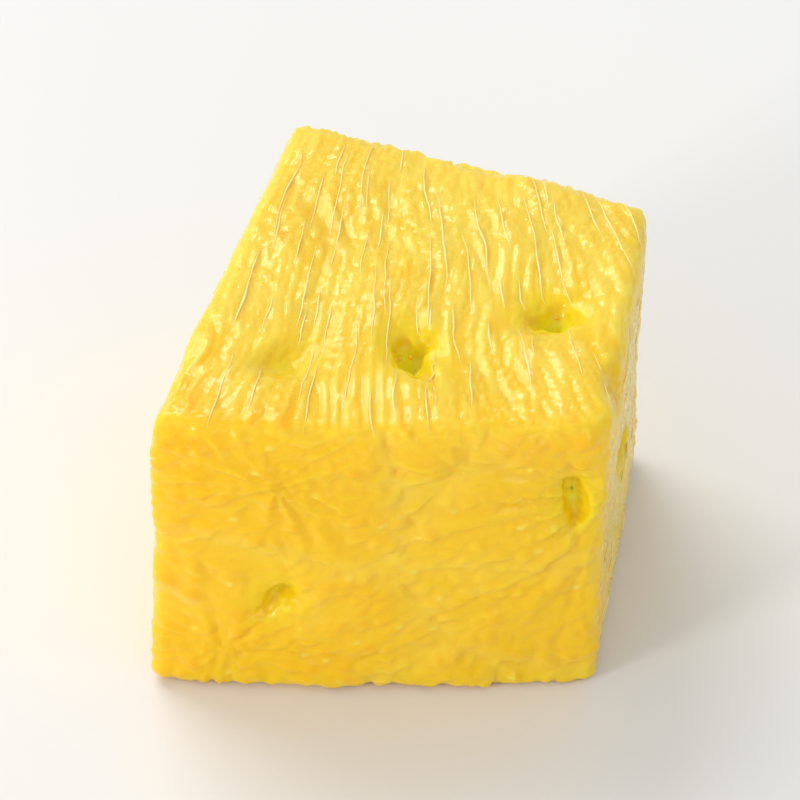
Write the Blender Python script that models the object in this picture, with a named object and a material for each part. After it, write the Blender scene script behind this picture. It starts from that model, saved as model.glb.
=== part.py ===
"""A chunk of fresh pineapple, cut from a peeled ring slice and standing on its lower slice face.

The fruit's axis stands upright behind the chunk (+Y). The front face (-Y) lay just under the rind, the
back face is nearer to the core, and the left face is cut along a radius. The chunk is a block of six
knife cuts, none quite square to the next, with soft edges and the pits that the eyes and the seed
chambers leave where a cut runs through them. Sizes are in millimetres and degrees.
"""

import math
from typing import NamedTuple

import bmesh
import bpy
from mathutils import Matrix, Vector, noise
from mathutils.bvhtree import BVHTree

MM = 0.001

# The top face, as the knife left it.
SLICE_HEIGHT = 16.0
FRONT_WIDTH = 20.0
LEFT_LENGTH = 20.8
RIGHT_LENGTH = 14.4
LEFT_TURN = 17.0
RIGHT_TURN = 8.5

# How far each face leans out from the top edge down to the base, and how the top slopes.
FRONT_LEAN = 2.0
BACK_LEAN = -1.5
LEFT_LEAN = 1.5
RIGHT_LEAN = -1.0
TOP_PITCH = 1.2
TOP_ROLL = -0.8

# Soft edges, the round of the fruit on its front face, and the wander of the blade.
EDGE_ROUND = 0.6
EDGE_SEGMENTS = 3
RIND_BULGE = 0.8
BULGE_REACH = 9.0
BLADE_WANDER = 0.22
WANDER_SPACING = 5.5
FLAT_BASE_RISE = 2.5
GRID_CUTS = 11

# Round a hollow the grid is split this many times, out to this share of the hollow's radius.
DISH_SPLITS = 2
CORE_SPLITS = 3
SPLIT_REACH = 1.1

# A hollow's outline is uneven by this share of its radius. Within PRESS_REACH of its face the flesh
# gives way less and less, so that a hollow on an edge fades out behind it.
OUTLINE_LUMPS = 0.45
LUMP_SPACING = 0.95
PRESS_REACH = 2.6

FLESH_COLOUR = (0.93, 0.62, 0.10, 1.0)
FLESH_ROUGHNESS = 0.35


class Hollow(NamedTuple):
    """An opening's length, width and depth, the way that it points, and its shift that way.

    The wall is the share of the radius that slopes: 1 gives a soft dish, and less a steeper core.
    """

    length: float
    width: float
    depth: float
    wall: float
    turn: float
    shift: float = 0.0


class Pit(NamedTuple):
    """A place in one face, and the hollows that are pressed in there: a soft dish round a deeper core."""

    name: str
    face: str
    across: float
    along: float
    hollows: tuple


class Press(NamedTuple):
    """A hollow's place on the block, with its three directions."""

    hollow: Hollow
    centre: Vector
    lengthwise: Vector
    crosswise: Vector
    normal: Vector


# Across runs along X, or along Y on the side faces. Along runs up the face, or along Y on the slice faces.
PITS = (
    Pit("eye_left", "top", -4.9, -5.2, (Hollow(4.4, 3.2, 0.55, 1, 20),)),
    Pit("eye_middle", "top", 0.5, -4.5, (
        Hollow(5.8, 3.4, 0.55, 1, 97),
        Hollow(3.8, 1.5, 0.9, 0.95, 104, -0.3),
        Hollow(2.4, 1.1, 0.7, 0.9, 38, 0.5),
    )),
    Pit("eye_right", "top", 6.6, -2.3, (
        Hollow(4.4, 3.6, 0.5, 1, 14),
        Hollow(3.2, 1.6, 0.8, 0.95, -12, 0.2),
        Hollow(2.6, 1.3, 0.6, 0.9, 62, 0.3),
    )),
    Pit("seed_slit", "front", 7.6, 11.2, (
        Hollow(6.6, 2.6, 0.3, 1, 94),
        Hollow(5.2, 1.1, 0.9, 0.9, 97, -0.3),
    )),
    Pit("eye_slit", "front", -5.4, 5.8, (
        Hollow(5.2, 3.0, 0.35, 1, 48),
        Hollow(4.0, 1.1, 0.7, 0.95, 56, -0.3),
        Hollow(2.0, 1.0, 0.5, 0.9, -10, 0.4),
    )),
    Pit("edge_nick", "right", -6.2, 15.3, (Hollow(4.2, 3.6, 0.7, 1, 4),)),
    Pit("chamber_slit", "right", -1.8, 6.4, (
        Hollow(5.8, 2.6, 0.3, 1, -8),
        Hollow(4.2, 1.1, 0.8, 0.9, -4, 0.4),
    )),
    Pit("radial_slit", "left", -3.4, 10.2, (
        Hollow(6.2, 2.4, 0.3, 1, 6),
        Hollow(4.6, 1.1, 0.8, 0.9, 9, -0.5),
    )),
    Pit("core_dimple", "back", -0.5, 8.8, (Hollow(3.4, 2.4, 0.45, 1, 40),)),
    Pit("under_left", "base", -5.2, -5.4, (
        Hollow(4.6, 3.2, 0.4, 1, 110),
        Hollow(3.0, 1.2, 0.8, 0.95, 104),
    )),
    Pit("under_right", "base", 4.4, -5.8, (
        Hollow(5.0, 3.4, 0.4, 1, 80),
        Hollow(3.4, 1.3, 0.9, 0.95, 70, -0.3),
        Hollow(2.0, 1.0, 0.5, 0.9, 130, 0.3),
    )),
)

# Each face's outward direction, and the directions that "across" and "along" run in.
FACES = {
    "top": (Vector((0, 0, 1)), Vector((1, 0, 0)), Vector((0, 1, 0))),
    "base": (Vector((0, 0, -1)), Vector((1, 0, 0)), Vector((0, 1, 0))),
    "front": (Vector((0, -1, 0)), Vector((1, 0, 0)), Vector((0, 0, 1))),
    "back": (Vector((0, 1, 0)), Vector((1, 0, 0)), Vector((0, 0, 1))),
    "left": (Vector((-1, 0, 0)), Vector((0, 1, 0)), Vector((0, 0, 1))),
    "right": (Vector((1, 0, 0)), Vector((0, 1, 0)), Vector((0, 0, 1))),
}


def clear_scene():
    for ob in list(bpy.data.objects):
        bpy.data.objects.remove(ob)


def flesh_material():
    material = bpy.data.materials.new("pineapple_flesh")
    material.use_nodes = True
    shader = material.node_tree.nodes["Principled BSDF"]
    shader.inputs["Base Color"].default_value = FLESH_COLOUR
    shader.inputs["Roughness"].default_value = FLESH_ROUGHNESS
    shader.inputs["Metallic"].default_value = 0.0
    return material


def side_step(length, turn):
    """A side of the top face, going back from the front edge and turned to the right."""
    angle = math.radians(turn)
    return Vector((length * math.sin(angle), length * math.cos(angle)))


def top_corners():
    """The four corners of the top face, by the sign of their side and of their depth."""
    front_left = Vector((-FRONT_WIDTH / 2, 0))
    front_right = Vector((FRONT_WIDTH / 2, 0))
    return {
        (-1, -1): front_left,
        (1, -1): front_right,
        (-1, 1): front_left + side_step(LEFT_LENGTH, LEFT_TURN),
        (1, 1): front_right + side_step(RIGHT_LENGTH, RIGHT_TURN),
    }


def base_corner(corner, side, depth):
    """Where a corner of the top face comes down to, by the lean of the two faces that meet there."""
    side_lean = LEFT_LEAN if side < 0 else RIGHT_LEAN
    depth_lean = FRONT_LEAN if depth < 0 else BACK_LEAN
    out_x = side * SLICE_HEIGHT * math.tan(math.radians(side_lean))
    out_y = depth * SLICE_HEIGHT * math.tan(math.radians(depth_lean))
    return corner + Vector((out_x, out_y))


def top_height(corner):
    pitch = corner.y * math.tan(math.radians(TOP_PITCH))
    roll = corner.x * math.tan(math.radians(TOP_ROLL))
    return SLICE_HEIGHT - pitch + roll


def knife_cut_block():
    """Six cut faces with soft edges, each divided into a grid."""
    bm = bmesh.new()
    corners = top_corners()
    for vertex in bmesh.ops.create_cube(bm, size=2)["verts"]:
        side, depth, level = (round(value) for value in vertex.co)
        corner = corners[side, depth]
        if level > 0:
            vertex.co = (corner.x, corner.y, top_height(corner))
        else:
            vertex.co = (*base_corner(corner, side, depth), 0)
    bmesh.ops.bevel(
        bm,
        geom=bm.edges[:],
        offset=EDGE_ROUND,
        segments=EDGE_SEGMENTS,
        profile=0.5,
        affect="EDGES",
    )
    long_edges = [edge for edge in bm.edges if edge.calc_length() > 3 * EDGE_ROUND]
    bmesh.ops.subdivide_edges(bm, edges=long_edges, cuts=GRID_CUTS, use_grid_fill=True)
    return bm


def round_the_rind_side(bm):
    """Bows the front face forward, and eases the bow out over the flesh behind it."""
    front = min(vertex.co.y for vertex in bm.verts)
    for vertex in bm.verts:
        across = vertex.co.x / (FRONT_WIDTH / 2)
        depth = (vertex.co.y - front) / BULGE_REACH
        bow = max(0.0, 1 - across * across) * max(0.0, 1 - depth)
        vertex.co.y -= RIND_BULGE * bow


def wander_the_blade(bm):
    """Makes every cut a little uneven, but for the base, which stays flat."""
    bm.normal_update()
    moves = []
    for vertex in bm.verts:
        rise = min(1.0, vertex.co.z / FLAT_BASE_RISE)
        wander = noise.noise(vertex.co / WANDER_SPACING) * BLADE_WANDER
        moves.append(vertex.normal * wander * rise)
    for vertex, move in zip(bm.verts, moves):
        vertex.co += move


def centre_over_the_base(bm):
    low = [min(vertex.co[axis] for vertex in bm.verts) for axis in range(3)]
    high = [max(vertex.co[axis] for vertex in bm.verts) for axis in range(3)]
    middle = Vector(((low[0] + high[0]) / 2, (low[1] + high[1]) / 2, low[2]))
    bmesh.ops.translate(bm, vec=-middle, verts=bm.verts)


def face_place(surface, pit):
    """Where the pit's centre meets the flesh, looking straight at its face."""
    outward, across, along = FACES[pit.face]
    reach = 3 * SLICE_HEIGHT
    start = across * pit.across + along * pit.along + outward * reach
    point, normal, _, _ = surface.ray_cast(start, -outward)
    return point, normal


def all_presses(bm):
    """Every hollow of every pit, laid on the block."""
    surface = BVHTree.FromBMesh(bm)
    presses = []
    for pit in PITS:
        point, normal = face_place(surface, pit)
        across = FACES[pit.face][1]
        level = (across - normal * across.dot(normal)).normalized()
        for hollow in pit.hollows:
            lengthwise = Matrix.Rotation(math.radians(hollow.turn), 3, normal) @ level
            centre = point + lengthwise * hollow.shift
            presses.append(Press(hollow, centre, lengthwise, normal.cross(lengthwise), normal))
    return presses


def share_of_radius(press, place):
    """How far out a place is in a hollow, from 0 at its centre to 1 at its rim. Beyond reach it is far."""
    step = place - press.centre
    if abs(step.dot(press.normal)) > PRESS_REACH:
        return math.inf
    long_way = step.dot(press.lengthwise) / (press.hollow.length / 2)
    short_way = step.dot(press.crosswise) / (press.hollow.width / 2)
    return math.hypot(long_way, short_way)


def split_round_the_hollows(bm, presses):
    """Makes the grid fine enough for each hollow's shape, and leaves it coarse elsewhere."""
    for split in range(CORE_SPLITS):
        near = set()
        for press in presses:
            splits = DISH_SPLITS if press.hollow.wall == 1 else CORE_SPLITS
            if split >= splits:
                continue
            for edge in bm.edges:
                middle = (edge.verts[0].co + edge.verts[1].co) / 2
                ends = [vertex.co for vertex in edge.verts] + [middle]
                if min(share_of_radius(press, place) for place in ends) < SPLIT_REACH:
                    near.add(edge)
        ordered = [edge for edge in bm.edges if edge in near]
        bmesh.ops.subdivide_edges(bm, edges=ordered, cuts=1, use_grid_fill=True)


def soft_step(share):
    share = min(1.0, max(0.0, share))
    return share * share * (3 - 2 * share)


def press_in_the_hollows(bm, presses):
    """Moves the flesh straight in under each hollow, so the skin stays whole and never folds."""
    moves = []
    for vertex in bm.verts:
        move = Vector()
        lump = OUTLINE_LUMPS * noise.noise(vertex.co / LUMP_SPACING)
        for press in presses:
            share = share_of_radius(press, vertex.co) * (1 + lump)
            if share < 1:
                under = abs((vertex.co - press.centre).dot(press.normal)) / PRESS_REACH
                sunk = press.hollow.depth * soft_step((1 - share) / press.hollow.wall)
                move -= press.normal * sunk * (1 - soft_step(under))
        moves.append(move)
    for vertex, move in zip(bm.verts, moves):
        vertex.co += move


def object_from(bm, name):
    """Turns the shape, in millimetres, into an object in metres."""
    bmesh.ops.triangulate(bm, faces=[face for face in bm.faces if len(face.verts) > 4])
    bmesh.ops.scale(bm, vec=(MM, MM, MM), verts=bm.verts)
    bmesh.ops.recalc_face_normals(bm, faces=bm.faces)
    mesh = bpy.data.meshes.new(name)
    bm.to_mesh(mesh)
    bm.free()
    ob = bpy.data.objects.new(name, mesh)
    bpy.context.collection.objects.link(ob)
    return ob


def build_chunk():
    bm = knife_cut_block()
    round_the_rind_side(bm)
    wander_the_blade(bm)
    centre_over_the_base(bm)
    presses = all_presses(bm)
    split_round_the_hollows(bm, presses)
    press_in_the_hollows(bm, presses)
    chunk = object_from(bm, "pineapple_chunk")
    chunk.data.materials.append(flesh_material())
    chunk.data.shade_smooth()
    return chunk


clear_scene()
build_chunk()
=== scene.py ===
# %% [markdown]
# # A chunk of fresh pineapple
#
# This lesson builds the looks of one bite-sized chunk of pineapple around a packed, solid model of it.
# The solid already has the right size, the knife cuts and the pits. What it lacks is everything that
# makes fruit look like fruit: fibres, juice cells, seams between the fruitlets, and moist flesh that
# light travels through.
#
# The first cell loads the solid as a fixed frame. Where the pieces go is worked out from its box.

import math

import bmesh
import bpy
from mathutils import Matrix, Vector


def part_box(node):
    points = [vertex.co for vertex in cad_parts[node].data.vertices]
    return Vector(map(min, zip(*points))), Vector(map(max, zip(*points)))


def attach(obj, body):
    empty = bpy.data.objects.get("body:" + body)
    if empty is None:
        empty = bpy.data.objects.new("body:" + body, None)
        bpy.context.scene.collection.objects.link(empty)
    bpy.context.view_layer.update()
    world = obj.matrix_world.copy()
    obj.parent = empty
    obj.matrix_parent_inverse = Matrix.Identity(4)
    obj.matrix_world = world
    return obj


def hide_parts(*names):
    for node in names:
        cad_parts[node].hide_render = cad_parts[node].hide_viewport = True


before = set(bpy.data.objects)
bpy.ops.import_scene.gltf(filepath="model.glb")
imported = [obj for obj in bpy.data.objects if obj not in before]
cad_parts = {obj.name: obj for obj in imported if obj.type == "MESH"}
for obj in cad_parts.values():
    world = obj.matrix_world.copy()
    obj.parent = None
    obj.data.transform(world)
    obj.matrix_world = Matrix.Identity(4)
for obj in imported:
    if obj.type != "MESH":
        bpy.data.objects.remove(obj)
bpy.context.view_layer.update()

MM = 0.001
low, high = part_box("pineapple_chunk")
middle = (low + high) / 2
chunk_size = (high - low) / MM
print(f"chunk: {chunk_size.x:.1f} x {chunk_size.y:.1f} x {chunk_size.z:.1f} mm")

# %% [markdown]
# ## Camera
#
# The camera looks down at 45 degrees with a long lens, so that the block keeps its true proportions.
# A short lens from nearby would swell the corner that is nearest to it.

# %% Camera
CAMERA_ELEVATION = math.radians(45)
CAMERA_DISTANCE = 0.30
CAMERA_LENS = 300

scene = bpy.context.scene
scene.view_settings.view_transform = "Standard"


def aim(ob, target):
    """Turns a camera or a lamp so that it looks at a point."""
    ob.rotation_euler = (Vector(target) - ob.location).to_track_quat("-Z", "Y").to_euler()


camera = bpy.data.objects.new("camera", bpy.data.cameras.new("camera"))
scene.collection.objects.link(camera)
camera.data.lens = CAMERA_LENS
towards_camera = Vector((0, -math.cos(CAMERA_ELEVATION), math.sin(CAMERA_ELEVATION)))
camera.location = middle + CAMERA_DISTANCE * towards_camera
aim(camera, middle)
scene.camera = camera
print(f"camera: {CAMERA_DISTANCE / MM:.0f} mm from the chunk's middle, with a {CAMERA_LENS} mm lens")

# %% [markdown]
# ## Light
#
# Four lamps and the sky share the work:
#
# - key: large and soft, behind the chunk on its left. It skims over the wet top and lights the left side
# - spark: beside the key, small and weak. A small lamp is what makes juice glint
# - front_fill: low and weak in front, so that the front stays in a warm half shade
# - skim: small, low, from the left front. It runs along the rind side and brings out its relief
# - the sky: a little blue, to cool the shade, which the fruit's own glow turns yellow
#
# One lamp above the camera would be simpler, but it would flatten the fibres.

# %% Light
WHITE = (1.0, 0.98, 0.94)
WARM_WHITE = (1.0, 0.97, 0.91)
SKY_COLOUR = (0.88, 0.95, 1.0, 1)
SKY_STRENGTH = 0.70


def soft_light(name, place, size, power, colour=WHITE):
    """A square lamp that shines at the chunk."""
    lamp = bpy.data.lights.new(name, "AREA")
    lamp.shape = "SQUARE"
    lamp.size = size
    lamp.energy = power
    lamp.color = colour
    ob = bpy.data.objects.new(name, lamp)
    scene.collection.objects.link(ob)
    ob.location = place
    aim(ob, middle)


soft_light("key", (-0.20, 0.26, 0.36), size=0.28, power=1.04, colour=WARM_WHITE)
soft_light("spark", (-0.05, 0.34, 0.36), size=0.06, power=0.11)
soft_light("front_fill", (0.14, -0.48, 0.12), size=0.22, power=0.27)
soft_light("skim", (-0.32, -0.21, 0.14), size=0.09, power=0.56)

world = bpy.data.worlds.new("studio")
world.use_nodes = True
sky = world.node_tree.nodes["Background"]
sky.inputs["Color"].default_value = SKY_COLOUR
sky.inputs["Strength"].default_value = SKY_STRENGTH
scene.world = world

# %% [markdown]
# ## Floor
#
# A pale, dull table top. It throws light back at the lower half of the chunk and takes its shadow.

# %% Floor
FLOOR_SIZE = 3.0
FLOOR_COLOUR = (0.83, 0.802, 0.782, 1)
FLOOR_ROUGHNESS = 0.55

bpy.ops.mesh.primitive_plane_add(size=FLOOR_SIZE)
floor = bpy.context.object
floor.name = "floor"
table_top = bpy.data.materials.new("pale_table")
table_top.use_nodes = True
table_shader = table_top.node_tree.nodes["Principled BSDF"]
table_shader.inputs["Base Color"].default_value = FLOOR_COLOUR
table_shader.inputs["Roughness"].default_value = FLOOR_ROUGHNESS
floor.data.materials.append(table_top)
print(f"floor: {FLOOR_SIZE:.0f} m square")

# %% [markdown]
# ## Small helpers for node trees
#
# Geometry nodes and shader nodes are built in the same way from Python: make a node, set its options,
# then link or fill its inputs. These helpers keep each later cell down to the recipe itself.

# %% Helpers for node trees


def add_node(tree, kind, inputs=None, **options):
    """Adds a node, sets its options, and links or fills its inputs."""
    node = tree.nodes.new(kind)
    for name, value in options.items():
        setattr(node, name, value)
    for key, value in (inputs or {}).items():
        if isinstance(value, bpy.types.NodeSocket):
            tree.links.new(value, node.inputs[key])
        else:
            node.inputs[key].default_value = value
    return node


def maths(tree, operation, first, second=0.0, third=0.0):
    """One sum on numbers."""
    node = add_node(tree, "ShaderNodeMath", {0: first, 1: second, 2: third}, operation=operation)
    return node.outputs[0]


def product(tree, first, *others):
    """All the values multiplied."""
    for other in others:
        first = maths(tree, "MULTIPLY", first, other)
    return first


def one_minus(tree, value):
    """The other way round: 1 where the value is 0."""
    return maths(tree, "SUBTRACT", 1.0, value)


def vectors(tree, operation, first, second=(0, 0, 0), scale=1.0):
    """One sum on vectors."""
    node = add_node(tree, "ShaderNodeVectorMath", {0: first, 1: second, 3: scale}, operation=operation)
    return node.outputs[1 if operation in ("LENGTH", "DOT_PRODUCT") else 0]


def ramp(tree, value, start, end, to_start=0.0, to_end=1.0, soft=True):
    """Maps start..end to to_start..to_end, clamped, with soft ends."""
    node = add_node(
        tree,
        "ShaderNodeMapRange",
        {0: value, 1: start, 2: end, 3: to_start, 4: to_end},
        interpolation_type="SMOOTHSTEP" if soft else "LINEAR",
    )
    return node.outputs[0]


# %% [markdown]
# ## Helpers for chance
#
# Fruit has no two cells alike, so nearly everything on it is drawn by chance. Two kinds of chance are
# enough: noise, which changes smoothly from place to place, and Voronoi cells, which crowd together
# like the sacs of the flesh. Both work from the place alone, so they come out the same each time.
#
# A noise gives values from 0 to 1, but most of them lie near the middle. A ramp over the middle values
# uses the whole way from one look to the other.

# %% Helpers for chance
MIDDLE_VALUES = (0.35, 0.65)
WIDER_VALUES = (0.3, 0.7)


def noise(tree, place, scale, detail=2.0, colour=False):
    """Soft random values from 0 to 1 that change over the given place."""
    inputs = {"Vector": place, "Scale": scale, "Detail": detail}
    node = add_node(tree, "ShaderNodeTexNoise", inputs, noise_dimensions="3D")
    return node.outputs["Color" if colour else 0]


def wander(tree, place, scale, detail=2.0):
    """A random shift of up to half a unit each way, which changes slowly over the place."""
    shift = noise(tree, place, scale, detail=detail, colour=True)
    return vectors(tree, "SUBTRACT", shift, (0.5, 0.5, 0.5))


def random_cell(tree, place, feature="F1"):
    """The random cell that a place is in: how far its middle is, its colour, and its middle."""
    inputs = {"Vector": place, "Scale": 1.0}
    options = {"voronoi_dimensions": "3D", "feature": feature}
    return add_node(tree, "ShaderNodeTexVoronoi", inputs, **options).outputs


def cell_wall(tree, place):
    """How far a place is from the wall of its random cell."""
    return random_cell(tree, place, "DISTANCE_TO_EDGE")["Distance"]


def cell_chance(tree, cell):
    """A random value from 0 to 1 that is the same all over one cell."""
    return add_node(tree, "ShaderNodeSeparateXYZ", {0: cell["Color"]}).outputs[0]


# %% [markdown]
# ## The fruit's own directions
#
# A pineapple grows round a core, and everything in its flesh runs straight out from that core: the
# fibres, the long juice cells and the walls between the fruitlets. A knife shows them as long streaks
# on the slice faces and on the radial cuts, and as dots and small rings on the rind side.
#
# One change of coordinates gives all of that at once. It measures a place by its way round the core,
# its distance out from the core and its height, in millimetres. Any pattern that is stretched along
# the second of these comes out right on all six faces. The shape's node tree and the material both
# use it, so it is written once, as a function that adds its nodes to either kind of tree.

# %% The fruit's own directions
CORE_TO_RIND = 43.0
CORE_SIDEWAYS = 1.0
MIDDLE_RADIUS = 34.0
core_axis = Vector((middle.x + CORE_SIDEWAYS * MM, low.y + CORE_TO_RIND * MM, 0))
print(f"the core's axis stands {core_axis.y / MM:.1f} mm behind the chunk's middle")


def fruit_directions(tree, position):
    """Way round the core, distance out from it, and height, in millimetres."""
    out = vectors(tree, "SCALE", vectors(tree, "SUBTRACT", position, tuple(core_axis)), scale=1 / MM)
    parts = add_node(tree, "ShaderNodeSeparateXYZ", {0: out}).outputs
    flat = add_node(tree, "ShaderNodeCombineXYZ", {0: parts[0], 1: parts[1]}).outputs[0]
    radius = vectors(tree, "LENGTH", flat)
    angle = maths(tree, "ARCTAN2", parts[0], maths(tree, "MULTIPLY", parts[1], -1.0))
    way_round = maths(tree, "MULTIPLY", angle, MIDDLE_RADIUS)
    return add_node(tree, "ShaderNodeCombineXYZ", {0: way_round, 1: radius, 2: parts[2]}).outputs[0]


# %% [markdown]
# ## The flesh: a fine, even skin of faces
#
# The solid is made of large triangles, and fibres a third of a millimetre apart need much finer ones.
# A voxel remesh rebuilds the surface from small equal squares. A few passes of smoothing then wear
# the facets down, which is also what wet flesh does to a knife edge. Subdividing the solid instead
# would keep its long thin triangles, and they would show as creases.

# %% Fine skin
WELD_DISTANCE = 1e-6
SKIN_CELL = 0.15
SMOOTH_FACTOR = 0.5
SMOOTH_PASSES = 4


def merged_copy(source, name):
    """A copy of a frame node with its loose triangles joined."""
    bm = bmesh.new()
    bm.from_mesh(source.data)
    bmesh.ops.remove_doubles(bm, verts=bm.verts, dist=WELD_DISTANCE)
    mesh = bpy.data.meshes.new(name)
    bm.to_mesh(mesh)
    bm.free()
    ob = bpy.data.objects.new(name, mesh)
    scene.collection.objects.link(ob)
    return ob


def as_plain_mesh(ob, name):
    """The evaluated object as a mesh of its own, at the origin. The original goes."""
    graph = bpy.context.evaluated_depsgraph_get()
    mesh = bpy.data.meshes.new_from_object(ob.evaluated_get(graph), depsgraph=graph)
    plain = bpy.data.objects.new(name, mesh)
    scene.collection.objects.link(plain)
    bpy.data.objects.remove(ob)
    return plain


skin = merged_copy(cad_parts["pineapple_chunk"], "skin")
remesh = skin.modifiers.new("even skin", "REMESH")
remesh.mode = "VOXEL"
remesh.voxel_size = SKIN_CELL * MM
remesh.adaptivity = 0
smooth = skin.modifiers.new("worn edges", "SMOOTH")
smooth.factor = SMOOTH_FACTOR
smooth.iterations = SMOOTH_PASSES
skin = as_plain_mesh(skin, "skin")
print(f"fine skin: {len(skin.data.polygons)} squares of about {SKIN_CELL} mm")

# %% [markdown]
# ## A Geometry Nodes tree with named sizes
#
# Each tree below starts from an empty one with an input for the mesh and one for every size that a
# maker might want to change. A value can be kept on the points under a name, and read back later in
# the same tree, in another tree or in a material.

# %% Helpers for shape trees


def new_shape_tree(name, sizes):
    """An empty Geometry Nodes tree with named sizes, its inputs and its output node."""
    tree = bpy.data.node_groups.new(name, "GeometryNodeTree")
    tree.interface.new_socket("Geometry", in_out="INPUT", socket_type="NodeSocketGeometry")
    for label, value in sizes.items():
        kind = "NodeSocketInt" if isinstance(value, int) else "NodeSocketFloat"
        tree.interface.new_socket(label, in_out="INPUT", socket_type=kind).default_value = value
    tree.interface.new_socket("Geometry", in_out="OUTPUT", socket_type="NodeSocketGeometry")
    return tree, tree.nodes.new("NodeGroupInput").outputs, tree.nodes.new("NodeGroupOutput")


def keep(tree, geometry, name, value):
    """Keeps a value on the points under a name."""
    inputs = {"Geometry": geometry, "Name": name, "Value": value}
    options = {"data_type": "FLOAT", "domain": "POINT"}
    return add_node(tree, "GeometryNodeStoreNamedAttribute", inputs, **options).outputs[0]


def kept(tree, name):
    """Reads a value that was kept on the points."""
    return add_node(tree, "GeometryNodeInputNamedAttribute", {"Name": name}, data_type="FLOAT").outputs[0]


def position_of(tree):
    """Where each point is."""
    return tree.nodes.new("GeometryNodeInputPosition").outputs[0]


def normal_of(tree):
    """Which way the surface faces at each point."""
    return tree.nodes.new("GeometryNodeInputNormal").outputs[0]


def straight_out(tree, position):
    """The level direction that points straight out from the core."""
    out = vectors(tree, "SUBTRACT", position, tuple(core_axis))
    return vectors(tree, "NORMALIZE", vectors(tree, "MULTIPLY", out, (1, 1, 0)))


# %% [markdown]
# The chunk stands on its lower cut, so nothing may hang below that. Each tree ends in the same four
# nodes. The first lifts what is too low, and the last two make real faces in their own material.

# %% The end of every shape tree
FAR_AWAY = -1.0
LOWEST_PLACE = (FAR_AWAY, FAR_AWAY, low.z)


def finished(tree, shape, material):
    """Real faces, shaded smooth, in their material, and none below the base."""
    place = {"Geometry": shape, "Position": vectors(tree, "MAXIMUM", position_of(tree), LOWEST_PLACE)}
    shape = add_node(tree, "GeometryNodeSetPosition", place).outputs[0]
    shape = add_node(tree, "GeometryNodeSetShadeSmooth", {"Geometry": shape}).outputs[0]
    shape = add_node(tree, "GeometryNodeRealizeInstances", {0: shape}).outputs[0]
    return add_node(tree, "GeometryNodeSetMaterial", {"Geometry": shape, "Material": material}).outputs[0]


print(f"nothing reaches below {low.z / MM:.1f} mm")

# %% [markdown]
# ## The patterns of the flesh
#
# A few patterns make pineapple flesh look like itself. All of them are drawn on the fruit's own
# directions, which first sway a little, because no fibre runs quite straight:
#
# - fibre: thin bundles that run out from the core
# - sac: long juice sacs between the fibres, each with its own height and tone
# - streak and patch: bands and clouds where the flesh is deeper or paler
# - seam: the curved walls where two fruitlets have grown together
# - dot: the cut ends of fibre bundles
# - outline: under the rind, the soft edge of each fruitlet, where it met its neighbours
# - ray: the sacs that fan out round the middle of each fruitlet
#
# Each is a value from 0 to 1 on the points. The shape and the colour both read them, so a pale
# fibre is always a raised one.

# %% Sway and stretch
SWAY_SCALE = 0.12
SWAY_REACH = 2.6

# How many times longer than wide each pattern is, on the way out from the core
STRETCH = {
    "fibre": 30.0,
    "sac": 6.5,
    "streak": 9.0,
    "patch": 1.6,
    "seam": 5.0,
    "dot": 1.6,
    "fruitlet": 9.0,
    "wave": 1.5,
    "pulp": 2.2,
}


def swaying(tree, straight):
    """Fruit directions that wander sideways and up and down."""
    shift = wander(tree, straight, SWAY_SCALE, detail=1.0)
    return vectors(tree, "ADD", straight, vectors(tree, "MULTIPLY", shift, (SWAY_REACH, 0.0, SWAY_REACH)))


def patterned(tree, fruit, width, pattern):
    """Fruit directions in units of one pattern's width, and longer outwards."""
    squeeze = vectors(tree, "MULTIPLY", fruit, (1, 1 / STRETCH[pattern], 1))
    return vectors(tree, "SCALE", squeeze, scale=maths(tree, "DIVIDE", 1.0, width))


print("length of each pattern for one of width:", ", ".join(f"{name} {n}" for name, n in STRETCH.items()))

# %% [markdown]
# Fibres and sacs fill the whole flesh. A fibre could be a stripe, but stripes never branch. A line
# where a long, soft noise crosses its middle value does branch and join, as bundles do. The sacs are
# long Voronoi cells, full in their middle and low at their walls.

# %% Fibres and sacs
FIBRE_BAND = 0.11
SAC_SHOULDER = 0.40


def fibre_pattern(tree, fruit, width):
    """Thin lines where a long soft noise crosses its middle value."""
    lines = noise(tree, patterned(tree, fruit, width, "fibre"), 1.0)
    from_line = maths(tree, "ABSOLUTE", maths(tree, "SUBTRACT", lines, 0.5))
    return ramp(tree, from_line, 0.0, FIBRE_BAND, 1.0, 0.0)


def sac_pattern(tree, fruit, width):
    """How full the skin is over each long sac, and the sac's own tone."""
    place = patterned(tree, fruit, width, "sac")
    full = ramp(tree, cell_wall(tree, place), 0.0, SAC_SHOULDER)
    return full, cell_chance(tree, random_cell(tree, place))


print(f"a sac rises from its wall over {SAC_SHOULDER:.0%} of its width")

# %% [markdown]
# The larger marks are cells too: seams and outlines are drawn along their walls, dots in their middles.
# A straight wall would look like a crack in glass, so a slow noise bends the seams. The rays are a
# noise that is read on a circle round each fruitlet's middle, so that it changes quickly with the
# direction and slowly on the way out.

# %% Seams, dots and fruitlets
SEAM_BEND_SCALE = 0.22
SEAM_BEND = 7.0
SEAM_THICKNESS = 0.05
DOT_CORE = 0.05
DOT_RIM = 0.17
DOTLESS_SHARE = 0.33
OUTLINE_THICKNESS = 0.09
RAY_SCALE_OUTWARDS = 3.0


def seam_pattern(tree, fruit, width):
    """The walls of large cells, bent by a slow noise."""
    bend = vectors(tree, "SCALE", wander(tree, fruit, SEAM_BEND_SCALE), scale=SEAM_BEND)
    place = patterned(tree, vectors(tree, "ADD", fruit, bend), width, "seam")
    return ramp(tree, cell_wall(tree, place), 0.0, SEAM_THICKNESS, 1.0, 0.0)


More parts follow.
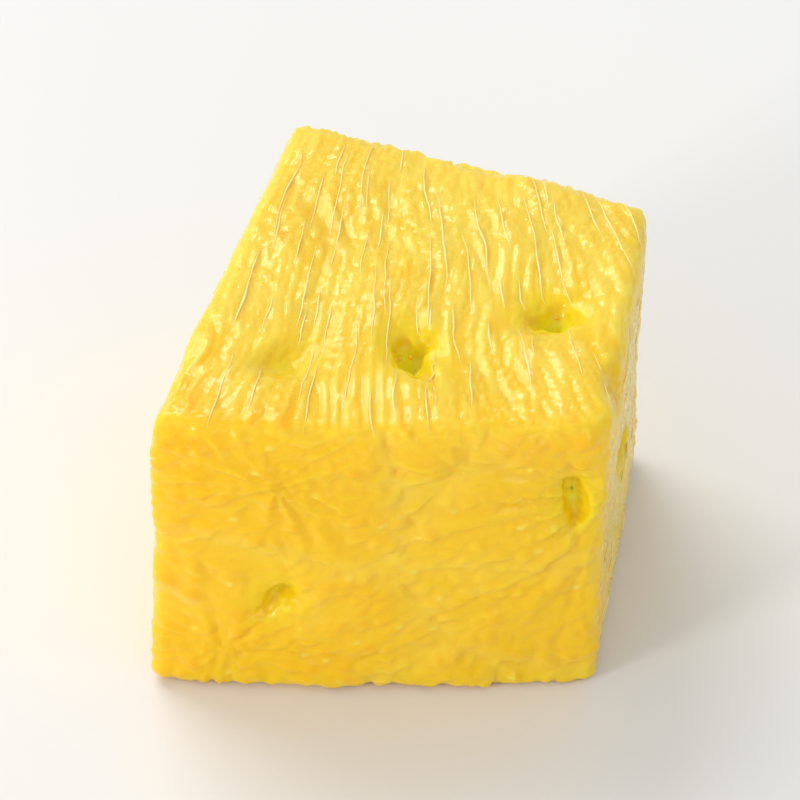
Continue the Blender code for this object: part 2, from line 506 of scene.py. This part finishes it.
def dot_pattern(tree, fruit, spacing):
    """Scattered small spots, a third of the cells with none."""
    cell = random_cell(tree, patterned(tree, fruit, spacing, "dot"))
    spot = ramp(tree, cell["Distance"], DOT_CORE, DOT_RIM, 1.0, 0.0)
    return product(tree, spot, maths(tree, "GREATER_THAN", cell_chance(tree, cell), DOTLESS_SHARE))


def fruitlet_patterns(tree, fruit, spacing, rays):
    """The soft outline of each fruitlet, and streaks that fan out from its middle."""
    place = patterned(tree, fruit, spacing, "fruitlet")
    outline = ramp(tree, cell_wall(tree, place), 0.0, OUTLINE_THICKNESS, 1.0, 0.0)
    heart = random_cell(tree, place)["Position"]
    spoke = vectors(tree, "MULTIPLY", vectors(tree, "SUBTRACT", place, heart), (1, 0, 1))
    reach = maths(tree, "MULTIPLY", vectors(tree, "LENGTH", spoke), RAY_SCALE_OUTWARDS)
    turned = vectors(tree, "SCALE", vectors(tree, "NORMALIZE", spoke), scale=rays)
    outwards = add_node(tree, "ShaderNodeCombineXYZ", {1: reach}).outputs[0]
    fan = vectors(tree, "ADD", vectors(tree, "ADD", turned, outwards), heart)
    return outline, ramp(tree, noise(tree, fan, 1.0), *MIDDLE_VALUES)


print(f"dots: in {1 - DOTLESS_SHARE:.0%} of their cells")

# %% [markdown]
# ## Where a pattern shows
#
# A knife that runs along the fibres shows them as lines. A knife that runs across them shows only
# their ends, and the sacs as small rounds. The angle between the face and the way out from the core
# tells the two apart.
#
# The pits are found without any list of places: a point in a pit lies well below the convex hull,
# the tight wrapping of the whole chunk. Edges are found by blurring: a blurred edge sinks in. A wide
# blur of the pits' rims gives each pit its soft halo.

# %% Where a pattern shows
# From 0, a face that lies along the fibres, to 1, a face that is cut straight across them
CUT_TURN = (0.35, 0.85)
CUT_LEAST = 0.12
# How far a point lies below the wrapping, in millimetres
PIT_DEPTHS = (0.55, 1.25)
RIM_DEPTHS = (0.28, 0.75)
# How far a point stands out of its blurred surface, in metres
EDGE_DEPTHS = (0.01 * MM, 0.16 * MM)


def cut_masks(tree, position, normal):
    """How far the face is cut along the fibres, and how far across them."""
    facing = maths(tree, "ABSOLUTE", vectors(tree, "DOT_PRODUCT", straight_out(tree, position), normal))
    return ramp(tree, facing, *CUT_TURN, 1.0, CUT_LEAST), ramp(tree, facing, *CUT_TURN, CUT_LEAST, 1.0)


def blurred(tree, value, passes, kind="FLOAT"):
    """A value that each point has shared with its neighbours, once for every pass."""
    return add_node(tree, "GeometryNodeBlurAttribute", {0: value, 1: passes}, data_type=kind).outputs[0]


def pit_masks(tree, shape, passes):
    """Masks of the deep part of the pits, and of the whole pits with a soft rim."""
    hull = add_node(tree, "GeometryNodeConvexHull", {0: shape}).outputs[0]
    sunk = add_node(tree, "GeometryNodeProximity", {0: hull}, target_element="FACES").outputs["Distance"]
    sunk = maths(tree, "DIVIDE", sunk, MM)
    return ramp(tree, sunk, *PIT_DEPTHS), blurred(tree, ramp(tree, sunk, *RIM_DEPTHS), passes)


def edge_mask(tree, position, normal, passes):
    """How near a point is to an edge of the chunk."""
    sunk = vectors(tree, "SUBTRACT", position, blurred(tree, position, passes, "FLOAT_VECTOR"))
    return ramp(tree, vectors(tree, "DOT_PRODUCT", sunk, normal), *EDGE_DEPTHS)


print(f"a pit starts {RIM_DEPTHS[0]} mm below the wrapping and is deep at {PIT_DEPTHS[1]} mm")

# %% [markdown]
# ## One wet surface for every material
#
# Juice lies on the fruit as an uneven film: glossy where it has pooled, and softer where the flesh is
# dry. The fibres and the ovules have the same film on another scale, so it is a shader node group,
# with its sizes as inputs. It gives out a roughness and the height of a fine grain, and each
# material feeds those to its own shader.

# %% The wet surface group
WET_SURFACE_SIZES = {"Film Size": 2.0, "Grain Size": 0.2, "Wet": 0.2, "Dry": 0.4}
GRAIN_DETAIL = 3.0
GRAIN_STRENGTH = 0.4


def wet_surface_group():
    """A shader group that turns a place into a roughness and a grain."""
    tree = bpy.data.node_groups.new("wet_surface", "ShaderNodeTree")
    tree.interface.new_socket("Place", in_out="INPUT", socket_type="NodeSocketVector")
    for label, value in WET_SURFACE_SIZES.items():
        socket = tree.interface.new_socket(label, in_out="INPUT", socket_type="NodeSocketFloat")
        socket.default_value = value
    for label in ("Roughness", "Grain"):
        tree.interface.new_socket(label, in_out="OUTPUT", socket_type="NodeSocketFloat")
    given = tree.nodes.new("NodeGroupInput").outputs
    result = tree.nodes.new("NodeGroupOutput")
    film = noise(tree, given["Place"], maths(tree, "DIVIDE", 1.0, given["Film Size"]))
    roughness = ramp(tree, film, *MIDDLE_VALUES, given["Wet"], given["Dry"])
    grain_scale = maths(tree, "DIVIDE", 1.0, given["Grain Size"])
    grain = noise(tree, given["Place"], grain_scale, detail=GRAIN_DETAIL)
    tree.links.new(roughness, result.inputs["Roughness"])
    tree.links.new(grain, result.inputs["Grain"])
    return tree


def make_wet(tree, shader, place, film_size, grain_size, wet, dry, grain_depth):
    """Places the group in a material, and links its roughness and its grain."""
    inputs = {"Place": place, "Film Size": film_size, "Grain Size": grain_size, "Wet": wet, "Dry": dry}
    film = add_node(tree, "ShaderNodeGroup", inputs, node_tree=wet_surface).outputs
    tree.links.new(film["Roughness"], shader.inputs["Roughness"])
    bump = {"Height": film["Grain"], "Strength": GRAIN_STRENGTH, "Distance": grain_depth * MM}
    tree.links.new(add_node(tree, "ShaderNodeBump", bump).outputs[0], shader.inputs["Normal"])


wet_surface = wet_surface_group()
print(f"wet surface: {len(wet_surface.nodes)} nodes")

# %% [markdown]
# ## Helpers for materials
#
# A plain number, the same all over a piece, is set on the shader's own socket. Only what changes over
# the surface is linked, so a finish can be read at a glance from its list of numbers.

# %% Helpers for materials


def new_material(name, finish):
    """A new material, its tree and its shader, with the finish's plain numbers filled in."""
    material = bpy.data.materials.new(name)
    material.use_nodes = True
    shader = material.node_tree.nodes["Principled BSDF"]
    for label, value in finish.items():
        shader.inputs[label].default_value = value
    return material, material.node_tree, shader


def fruit_place(tree):
    """The fruit's directions, in a material."""
    return fruit_directions(tree, add_node(tree, "ShaderNodeTexCoord").outputs["Object"])


def kept_value(tree, name):
    """Reads a value that was kept on the points, in a material."""
    node = add_node(tree, "ShaderNodeAttribute", attribute_name=name, attribute_type="GEOMETRY")
    return node.outputs["Fac"]


def painted(tree, amount, under, over):
    """One colour laid over another."""
    return add_node(tree, "ShaderNodeMix", {0: amount, 6: under, 7: over}, data_type="RGBA").outputs[2]


# %% [markdown]
# ## The flesh's colour
#
# Pineapple is a pale cream yellow near the core and a deep gold just under the rind. Light goes in
# one place and comes out a millimetre or two away, and the blue part of it hardly gets through, which
# makes every shaded side look more golden still. Subsurface scattering does this by itself, so the
# painted colours are kept lighter than they look. The rind side is the one exception: its deep gold is
# partly the fruit's own and partly painted shade, the deeper gold of a side in half shade.
#
# Colours too orange are the usual mistake here. The green part has to stay near two thirds of the
# red on the pale faces, and near half of it in the deepest gold. The reflections are tinted yellow as
# well, a painted reflection of yellow light from all round the fruit.
#
# Each kind of flesh has two colours, one for the walls and one for the full sacs between them.

# %% The flesh's colours
WALL_PALE = (0.98, 0.64, 0.055, 1)
SAC_PALE = (0.95, 0.52, 0.012, 1)
WALL_GOLD = (0.97, 0.58, 0.014, 1)
SAC_GOLD = (0.92, 0.46, 0.002, 1)
# Under the rind: the fruit's own deep gold, made deeper still as painted shade for a side in half shade
WALL_RIND_SHADE = (0.98, 0.565, 0.004, 1)
SAC_RIND_SHADE = (0.94, 0.42, 0.001, 1)
CREAM = (0.99, 0.72, 0.100, 1)
PIT_GOLD = (0.89, 0.62, 0.004, 1)
PIT_FLOOR = (1.0, 0.88, 0.040, 1)

# How far out from the core each change starts and ends, in millimetres
GOLD_REACH = (22.0, 41.0)
# The rind side's reach also carries painted shade: the deep gold of the half-shaded front
RIND_SHADE_REACH = (38.0, 43.0)
# What the way out, the bands and the clouds each add to the gold
OUTWARD_GOLD = (-0.15, 0.50)
BAND_GOLD = (0.0, 0.35)
CLOUD_GOLD = (-0.40, 0.45)
BAND_VALUES = (0.38, 0.62)
RIND_SHADE_CLOUD_VALUES = (0.40, 0.62)
RIND_SHADE_IN_CLOUDS = (1.0, 0.35)
JUICE_BY_TONE = (0.45, 1.0)
PALE_BETWEEN_RAYS = 0.9


def golden_share(tree, radius):
    """How golden the flesh is: more so outwards, and in bands and clouds."""
    outward = ramp(tree, radius, *GOLD_REACH, *OUTWARD_GOLD)
    bands = ramp(tree, kept_value(tree, "streak"), *BAND_VALUES, *BAND_GOLD)
    clouds = ramp(tree, kept_value(tree, "patch"), *MIDDLE_VALUES, *CLOUD_GOLD)
    golden = maths(tree, "ADD", maths(tree, "ADD", bands, outward), clouds)
    return ramp(tree, golden, 0.0, 1.0, soft=False)


def rind_and_shade_share(tree, radius):
    """How much the flesh is like that under the rind, in clouds: its own deep gold and painted shade."""
    clouds = ramp(tree, kept_value(tree, "patch"), *RIND_SHADE_CLOUD_VALUES, *RIND_SHADE_IN_CLOUDS)
    return product(tree, ramp(tree, radius, *RIND_SHADE_REACH), clouds)


def juice_share(tree):
    """How much of the sacs' colour shows: by how full they are, their tone and their ray."""
    tone = ramp(tree, kept_value(tree, "tone"), 0.0, 1.0, *JUICE_BY_TONE, soft=False)
    juice = product(tree, kept_value(tree, "sac"), tone)
    between_rays = product(tree, one_minus(tree, kept_value(tree, "ray")), kept_value(tree, "across_cut"))
    return product(tree, juice, one_minus(tree, product(tree, between_rays, PALE_BETWEEN_RAYS)))


print(f"gold grows from {GOLD_REACH[0]:.0f} to {GOLD_REACH[1]:.0f} mm out from the core")

# %% [markdown]
# On that ground the fine marks are painted one after another, each with its own strength. They are
# fainter under the rind. The cream along the edges is painted light, the glow of a thin edge that
# light comes through. The flesh round a pit is deeper and greener, and the floor of the pit is
# painted lighter than it is, to make up for the shade that it lies in.

# %% The flesh material
FLESH_FINISH = {
    "Subsurface Weight": 0.65,
    "Subsurface Radius": (1.0, 0.65, 0.10),
    "Subsurface Scale": 0.0018,
    "IOR": 1.36,
    "Specular IOR Level": 0.4,
    # Specular Tint: painted reflection, yellow as if yellow fruit lay all round the chunk
    "Specular Tint": (1.0, 0.90, 0.50, 1),
    "Coat Weight": 0.40,
    "Coat Roughness": 0.06,
}
# How strongly each mark is painted
STRENGTH = {
    "fibre": 0.60,
    "outline": 0.45,
    "dot": 0.80,
    "seam": 0.35,
    # edge: painted light, the glow along the chunk's edges
    "edge": 0.25,
    "halo": 0.85,
    "rim": 0.75,
    "pit": 0.85,
}
HALO_VALUES = (0.005, 0.25)
FAINTER_UNDER_RIND = 0.75


def flesh_marks(tree, inner):
    """The marks on the flesh, from the first painted to the last: how strong, and in what colour."""
    along, across = kept_value(tree, "along_cut"), kept_value(tree, "across_cut")

    def mark(name, *where):
        """One kept value, where it shows, as strong as it is painted."""
        return product(tree, kept_value(tree, name), *where, STRENGTH[name])

    return (
        (mark("fibre", along, inner), CREAM),
        (mark("outline", across), WALL_PALE),
        (mark("dot", across), CREAM),
        (mark("seam", inner), CREAM),
        # Cream along the edges: painted light, where light comes through a thin edge
        (mark("edge", inner), CREAM),
        (ramp(tree, kept_value(tree, "halo"), *HALO_VALUES, 0.0, STRENGTH["halo"]), PIT_GOLD),
        (mark("rim"), PIT_GOLD),
        (mark("pit"), PIT_FLOOR),
    )


def flesh_material():
    """Moist flesh, pale to golden, with its fibres, seams, dots and pits."""
    material, tree, shader = new_material("pineapple_flesh", FLESH_FINISH)
    fruit = fruit_place(tree)
    radius = add_node(tree, "ShaderNodeSeparateXYZ", {0: fruit}).outputs[1]
    golden, rind_side_and_shade = golden_share(tree, radius), rind_and_shade_share(tree, radius)
    # Towards the rind the colours turn deep gold, partly the flesh's own and partly painted shade
    wall = painted(tree, rind_side_and_shade, painted(tree, golden, WALL_PALE, WALL_GOLD), WALL_RIND_SHADE)
    sac = painted(tree, rind_side_and_shade, painted(tree, golden, SAC_PALE, SAC_GOLD), SAC_RIND_SHADE)
    colour = painted(tree, juice_share(tree), wall, sac)
    inner = one_minus(tree, product(tree, rind_side_and_shade, FAINTER_UNDER_RIND))
    for amount, paint in flesh_marks(tree, inner):
        colour = painted(tree, amount, colour, paint)
    tree.links.new(colour, shader.inputs["Base Color"])
    make_wet(tree, shader, fruit, film_size=2.2, grain_size=0.16, wet=0.16, dry=0.40, grain_depth=0.05)
    return material


flesh_look = flesh_material()
print(f"flesh material: {len(flesh_look.node_tree.nodes)} nodes")

# %% [markdown]
# ## Relief
#
# On the real cut the relief is shallow, a tenth of a millimetre or two, but it is what breaks the
# light into small wet sparks. A bump in the material could fake it, and the shape itself would stay
# smooth. Here Geometry Nodes moves the skin instead, along its normal, by the sum of the patterns.
#
# First come the sizes, in millimetres apart from the counts, and the values that each point keeps.

# %% What the points keep
RELIEF_SIZES = {
    "Fibre Width": 0.36,
    "Fibre Height": 0.055,
    "Sac Width": 0.80,
    "Sac Height": 0.038,
    "Sac Unevenness": 0.042,
    "Bead Height": 0.115,
    "Streak Width": 1.3,
    "Patch Width": 6.0,
    "Seam Width": 7.0,
    "Seam Depth": 0.06,
    "Dot Spacing": 1.25,
    "Dot Height": 0.09,
    "Fruitlet Width": 10.0,
    "Fruitlet Rays": 4.5,
    "Ray Height": 0.17,
    "Outline Depth": 0.10,
    "Edge Wear": 0.40,
    "Wave Width": 3.4,
    "Wave Height": 0.24,
    "Pulp Width": 0.75,
    "Pulp Height": 0.65,
    "Rim Passes": 4,
    "Halo Passes": 200,
    "Edge Passes": 30,
}


def flesh_values(tree, sizes, fruit, position, normal):
    """Every value that the shape and the colour read from the points."""
    along_cut, across_cut = cut_masks(tree, position, normal)
    pit, rim = pit_masks(tree, sizes["Geometry"], sizes["Rim Passes"])
    sac, tone = sac_pattern(tree, fruit, sizes["Sac Width"])
    outline, ray = fruitlet_patterns(tree, fruit, sizes["Fruitlet Width"], sizes["Fruitlet Rays"])
    return {
        "fibre": fibre_pattern(tree, fruit, sizes["Fibre Width"]),
        "sac": sac,
        "tone": tone,
        "seam": seam_pattern(tree, fruit, sizes["Seam Width"]),
        "dot": dot_pattern(tree, fruit, sizes["Dot Spacing"]),
        "outline": outline,
        "ray": ray,
        "streak": noise(tree, patterned(tree, fruit, sizes["Streak Width"], "streak"), 1.0),
        "patch": noise(tree, patterned(tree, fruit, sizes["Patch Width"], "patch"), 1.0, detail=1.0),
        "along_cut": along_cut,
        "across_cut": across_cut,
        "pit": pit,
        "rim": rim,
        "halo": blurred(tree, rim, sizes["Halo Passes"]),
        "edge": edge_mask(tree, position, normal, sizes["Edge Passes"]),
    }


print(f"relief: {len(RELIEF_SIZES)} named sizes")

# %% [markdown]
# Then the parts of the relief are added up. A knife leaves a face in slow waves and tears its edges a
# little. Inside the pits a coarse noise, drawn out along the fibres, makes ragged walls of torn pulp.
# The whole sum is lowered by the height of a fibre on a full sac, so that most of the relief is cut
# into the solid and doesn't grow out of it.

# %% The parts of the relief
EDGE_WEAR_SCALE = 0.45
EDGE_WEAR_BIAS = 0.6


def relief_parts(tree, sizes, fruit):
    """The parts of the relief: where each shows, and how high it is."""
    along, across = kept(tree, "along_cut"), kept(tree, "across_cut")
    wave = noise(tree, patterned(tree, fruit, sizes["Wave Width"], "wave"), 1.0, detail=1.0)
    pulp = noise(tree, patterned(tree, fruit, sizes["Pulp Width"], "pulp"), 1.0)
    pulp = maths(tree, "SUBTRACT", pulp, 0.5)
    uneven = maths(tree, "SUBTRACT", kept(tree, "tone"), 1.0)
    worn = maths(tree, "SUBTRACT", noise(tree, fruit, EDGE_WEAR_SCALE), EDGE_WEAR_BIAS)
    return (
        (maths(tree, "SUBTRACT", wave, 0.5), sizes["Wave Height"]),
        (product(tree, pulp, kept(tree, "rim")), sizes["Pulp Height"]),
        (product(tree, kept(tree, "dot"), across), sizes["Dot Height"]),
        (product(tree, kept(tree, "fibre"), along), sizes["Fibre Height"]),
        (product(tree, kept(tree, "ray"), across), sizes["Ray Height"]),
        (product(tree, kept(tree, "outline"), across, -1.0), sizes["Outline Depth"]),
        (product(tree, kept(tree, "sac"), across), sizes["Bead Height"]),
        (product(tree, worn, kept(tree, "edge")), sizes["Edge Wear"]),
        (kept(tree, "sac"), sizes["Sac Height"]),
        (product(tree, uneven, kept(tree, "sac")), sizes["Sac Unevenness"]),
        (product(tree, kept(tree, "seam"), -1.0), sizes["Seam Depth"]),
    )


def relief_tree(material):
    """Keeps every value on the skin's points, then moves the skin by the sum of the parts."""
    tree, sizes, result = new_shape_tree("fruit_relief", RELIEF_SIZES)
    position, normal = position_of(tree), normal_of(tree)
    fruit = swaying(tree, fruit_directions(tree, position))
    shape = sizes["Geometry"]
    for name, value in flesh_values(tree, sizes, fruit, position, normal).items():
        shape = keep(tree, shape, name, value)
    rise = 0.0
    for value, size in relief_parts(tree, sizes, fruit):
        rise = maths(tree, "MULTIPLY_ADD", value, size, rise)
    proud = maths(tree, "ADD", sizes["Fibre Height"], sizes["Sac Height"])
    rise = maths(tree, "SUBTRACT", rise, proud)
    offset = vectors(tree, "SCALE", normal, scale=maths(tree, "MULTIPLY", rise, MM))
    moved = add_node(tree, "GeometryNodeSetPosition", {"Geometry": shape, "Offset": offset}).outputs[0]
    tree.links.new(finished(tree, moved, material), result.inputs[0])
    return tree


flesh_shape = relief_tree(flesh_look)
print(f"relief tree: {len(flesh_shape.nodes)} nodes")

# %% [markdown]
# The tree is set on the fine skin and its result becomes a plain mesh. Nothing may stand out of the
# solid's own box, so the few points that do are brought back to it.

# %% Carve the flesh
skin.modifiers.new("relief", "NODES").node_group = flesh_shape
flesh = as_plain_mesh(skin, "flesh")
for vertex in flesh.data.vertices:
    for axis in range(3):
        vertex.co[axis] = min(high[axis], max(low[axis], vertex.co[axis]))
print(f"flesh: {len(flesh.data.vertices)} points, {len(flesh.data.polygons)} squares")

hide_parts("pineapple_chunk")
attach(flesh, "root")

# %% [markdown]
# ## Fibre strands
#
# A few of the fibre bundles come loose under the knife and lie on the cut as fine pale threads. They
# could be painted, but up close each one should catch the light on its own. Geometry Nodes lays
# them on the flesh:
#
# - points are scattered where the cut runs along the fibres, and a straight line is put on each one
# - the line sways, then every point of it drops onto the nearest flesh
# - what hangs over an edge or a pit is cut away, and so are pieces that are too short
# - a small ring runs along what is left, thinner towards both ends

# %% Scattered lines
STRAND_SIZES = {
    "Spacing": 1.2,
    "Most in 1 mm2": 0.30,
    "Shortest": 2.0,
    "Longest": 6.5,
    "Thickness": 0.13,
    "Sway": 0.7,
    "Overhang": 0.55,
    "Steps": 13,
    "Sides": 5,
    "Seed": 11,
}
ALONG_THE_CUT = (0.5, 0.9)


def scattered(tree, sizes, where):
    """Points on the mesh, no nearer to each other than the spacing."""
    inputs = {
        "Mesh": sizes["Geometry"],
        "Distance Min": maths(tree, "MULTIPLY", sizes["Spacing"], MM),
        "Density Max": maths(tree, "DIVIDE", sizes["Most in 1 mm2"], MM * MM),
        "Density Factor": where,
        "Seed": sizes["Seed"],
    }
    options = {"distribute_method": "POISSON"}
    return add_node(tree, "GeometryNodeDistributePointsOnFaces", inputs, **options).outputs


def random_between(tree, least, most, seed):
    """A random number for each point."""
    return add_node(tree, "FunctionNodeRandomValue", {2: least, 3: most, "Seed": seed}).outputs[1]


def scattered_lines(tree, sizes, position):
    """Straight threads of random length, all pointing out from the core."""
    calm = one_minus(tree, maths(tree, "MAXIMUM", kept(tree, "rim"), kept(tree, "edge")))
    clear = ramp(tree, kept(tree, "along_cut"), *ALONG_THE_CUT)
    points = scattered(tree, sizes, product(tree, clear, calm))["Points"]
    ends = {"Start": (-0.5, 0, 0), "End": (0.5, 0, 0)}
    line = add_node(tree, "GeometryNodeCurvePrimitiveLine", ends).outputs[0]
    line = add_node(tree, "GeometryNodeResampleCurve", {"Curve": line, "Count": sizes["Steps"]}).outputs[0]
    outward = {2: straight_out(tree, position)}
    rotation = add_node(tree, "FunctionNodeAlignRotationToVector", outward, axis="X").outputs[0]
    length = random_between(tree, sizes["Shortest"], sizes["Longest"], sizes["Seed"])
    scale = {0: maths(tree, "MULTIPLY", length, MM), 1: 1.0, 2: 1.0}
    scale = add_node(tree, "ShaderNodeCombineXYZ", scale).outputs[0]
    stems = {0: points, "Instance": line, "Rotation": rotation, "Scale": scale}
    lines = add_node(tree, "GeometryNodeInstanceOnPoints", stems).outputs[0]
    lines = add_node(tree, "GeometryNodeRealizeInstances", {0: lines}).outputs[0]
    return add_node(tree, "GeometryNodeCurveToMesh", {"Curve": lines}).outputs[0]


print(f"strands: {STRAND_SIZES['Shortest']} to {STRAND_SIZES['Longest']} mm long")

# %% [markdown]
# Laying a thread down takes one question for each of its points: where is the nearest flesh? The
# answer gives both the place to move to and, from its distance, whether the point hangs in the air
# beyond an edge. The flesh also says whether that place is in a pit.

# %% Threads on the flesh
STRAND_SWAY_SCALE = 0.28
NEAR_A_PIT = 0.3


def dropped(tree, shape, without, kind="POINT"):
    """The shape without the points or the curves that are picked."""
    return add_node(tree, "GeometryNodeDeleteGeometry", {0: shape, 1: without}, domain=kind).outputs[0]


def laid_on_flesh(tree, sizes, threads, position):
    """The threads, swaying and laid down, without what hangs over an edge or a pit."""
    shift = wander(tree, fruit_directions(tree, position), STRAND_SWAY_SCALE, detail=1.0)
    sway = vectors(tree, "SCALE", shift, scale=maths(tree, "MULTIPLY", sizes["Sway"], MM))
    threads = add_node(tree, "GeometryNodeSetPosition", {"Geometry": threads, "Offset": sway}).outputs[0]

    flesh_below = {0: sizes["Geometry"]}
    flesh_below = add_node(tree, "GeometryNodeProximity", flesh_below, target_element="FACES").outputs
    rim_below = {"Mesh": sizes["Geometry"], "Value": kept(tree, "rim")}
    rim_below = add_node(tree, "GeometryNodeSampleNearestSurface", rim_below, data_type="FLOAT").outputs[0]
    overhang = maths(tree, "MULTIPLY", sizes["Overhang"], MM)
    in_air = maths(tree, "GREATER_THAN", flesh_below["Distance"], overhang)
    over_pit = maths(tree, "GREATER_THAN", rim_below, NEAR_A_PIT)
    threads = dropped(tree, threads, maths(tree, "MAXIMUM", in_air, over_pit))
    laid = {"Geometry": threads, "Position": flesh_below["Position"]}
    return add_node(tree, "GeometryNodeSetPosition", laid).outputs[0]


print(f"a strand may start up to {STRAND_SIZES['Overhang']} mm above the flesh")

# %% [markdown]
# Last, each thread gets its thickness. A bundle of fibres is never the same from end to end, so the
# ring that runs along it is scaled twice: by a taper towards both ends, and by a slow noise.

# %% Strand tree
SHORTEST_KEPT = 0.5
TAPER_POWER = 0.6
TAPER_LEAST = 0.12
STOUT_SCALE = 0.5
STOUT_LEAST = 0.5


def thin_tubes(tree, sizes, threads, position):
    """A tapered tube along each thread that is still long enough."""
    curves = add_node(tree, "GeometryNodeMeshToCurve", {0: threads}).outputs[0]
    spline_length = tree.nodes.new("GeometryNodeSplineLength").outputs["Length"]
    least = maths(tree, "MULTIPLY", sizes["Shortest"], SHORTEST_KEPT * MM)
    curves = dropped(tree, curves, maths(tree, "LESS_THAN", spline_length, least), "CURVE")
    share = tree.nodes.new("GeometryNodeSplineParameter").outputs["Factor"]
    arch = maths(tree, "SINE", maths(tree, "MULTIPLY", share, math.pi))
    taper = maths(tree, "MAXIMUM", maths(tree, "POWER", arch, TAPER_POWER), TAPER_LEAST)
    stout = noise(tree, fruit_directions(tree, position), STOUT_SCALE)
    stout = ramp(tree, stout, *WIDER_VALUES, STOUT_LEAST, 1.0)
    radius = product(tree, taper, stout, sizes["Thickness"], MM / 2)
    ring = add_node(tree, "GeometryNodeCurvePrimitiveCircle", {"Resolution": sizes["Sides"], "Radius": 1.0})
    tube = {"Curve": curves, "Profile Curve": ring.outputs[0], "Scale": radius, "Fill Caps": True}
    return add_node(tree, "GeometryNodeCurveToMesh", tube).outputs[0]


def strand_tree(material):
    """Scatters the threads, lays them down and gives them their thickness."""
    tree, sizes, result = new_shape_tree("fibre_strands", STRAND_SIZES)
    position = position_of(tree)
    threads = laid_on_flesh(tree, sizes, scattered_lines(tree, sizes, position), position)
    tubes = thin_tubes(tree, sizes, threads, position)
    tree.links.new(finished(tree, tubes, material), result.inputs[0])
    return tree


print(f"strands under {STRAND_SIZES['Shortest'] * SHORTEST_KEPT} mm are left out")

# %% [markdown]
# The threads are cellulose, paler than the flesh and a little less clear. They wear the same film of
# juice, on a scale that fits their width. They have no subsurface scattering, because in tubes this
# thin it comes out grey.

# %% The strands and their material
STRAND_FINISH = {"IOR": 1.40, "Coat Weight": 0.2, "Coat Roughness": 0.08}
STRAND_YELLOW = (0.98, 0.74, 0.16, 1)
STRAND_CREAM = (1.0, 0.83, 0.32, 1)
STRAND_BAND_SCALE = 0.6


def strand_material():
    """Pale fibre in soft bands of two creams."""
    material, tree, shader = new_material("fibre_cream", STRAND_FINISH)
    fruit = fruit_place(tree)
    bands = ramp(tree, noise(tree, fruit, STRAND_BAND_SCALE), *WIDER_VALUES)
    colour = painted(tree, bands, STRAND_YELLOW, STRAND_CREAM)
    tree.links.new(colour, shader.inputs["Base Color"])
    make_wet(tree, shader, fruit, film_size=0.8, grain_size=0.08, wet=0.15, dry=0.35, grain_depth=0.02)
    return material


def grown_on_flesh(name, tree):
    """What a tree grows on the flesh, as a plain mesh of its own."""
    ob = bpy.data.objects.new("ground for " + name, flesh.data.copy())
    scene.collection.objects.link(ob)
    ob.modifiers.new(name, "NODES").node_group = tree
    ob = as_plain_mesh(ob, name)
    print(f"{name}: {len(ob.data.polygons)} faces")
    return ob


strands = grown_on_flesh("fibre_strands", strand_tree(strand_material()))
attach(strands, "root")

# %% [markdown]
# ## Ovules in the pits
#
# A pineapple's pits are its seed chambers and the roots of its eyes. In an eating fruit the seeds
# never grow, and a few amber ovules, no larger than a fine grain of sand, stay on the chamber's wall.
# They are grown with the same recipe, only where the flesh is deep in a pit, and each is a flattened
# ball of forty faces.

# %% Ovule tree
OVULE_SIZES = {
    "Spacing": 0.55,
    "Most in 1 mm2": 2.2,
    "Smallest": 0.22,
    "Largest": 0.34,
    "Seed": 4,
}
OVULE_BALL = {"Segments": 8, "Rings": 5, "Radius": 0.5}
OVULE_SHAPE = (1.0, 0.72, 0.60)
DEEP_IN_A_PIT = (0.45, 0.9)


def ovule_tree(material):
    """Scatters small flattened balls over the floor of the pits."""
    tree, sizes, result = new_shape_tree("ovules", OVULE_SIZES)
    points = scattered(tree, sizes, ramp(tree, kept(tree, "pit"), *DEEP_IN_A_PIT))
    ball = add_node(tree, "GeometryNodeMeshUVSphere", OVULE_BALL).outputs[0]
    size = product(tree, random_between(tree, sizes["Smallest"], sizes["Largest"], sizes["Seed"]), MM)
    scale = vectors(tree, "SCALE", OVULE_SHAPE, scale=size)
    grains = {0: points["Points"], "Instance": ball, "Rotation": points["Rotation"], "Scale": scale}
    grains = add_node(tree, "GeometryNodeInstanceOnPoints", grains).outputs[0]
    tree.links.new(finished(tree, grains, material), result.inputs[0])
    return tree


print(f"ovules: {OVULE_SIZES['Smallest']} to {OVULE_SIZES['Largest']} mm long")

# %% [markdown]
# The ovules are smoother than the flesh and only a little deeper in colour. Real seeds would be brown,
# but these never ripened.

# %% The ovules and their material
OVULE_FINISH = {"IOR": 1.40}
OVULE_AMBER = (0.98, 0.72, 0.040, 1)
OVULE_DEEP = (0.92, 0.54, 0.020, 1)
OVULE_SHADE_SCALE = 1.4


def ovule_material():
    """Amber that changes a little from one ovule to the next."""
    material, tree, shader = new_material("ovule_amber", OVULE_FINISH)
    fruit = fruit_place(tree)
    shade = ramp(tree, noise(tree, fruit, OVULE_SHADE_SCALE, detail=1.0), *MIDDLE_VALUES)
    tree.links.new(painted(tree, shade, OVULE_AMBER, OVULE_DEEP), shader.inputs["Base Color"])
    make_wet(tree, shader, fruit, film_size=0.5, grain_size=0.06, wet=0.15, dry=0.35, grain_depth=0.01)
    return material


ovules = grown_on_flesh("ovules", ovule_tree(ovule_material()))
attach(ovules, "root")
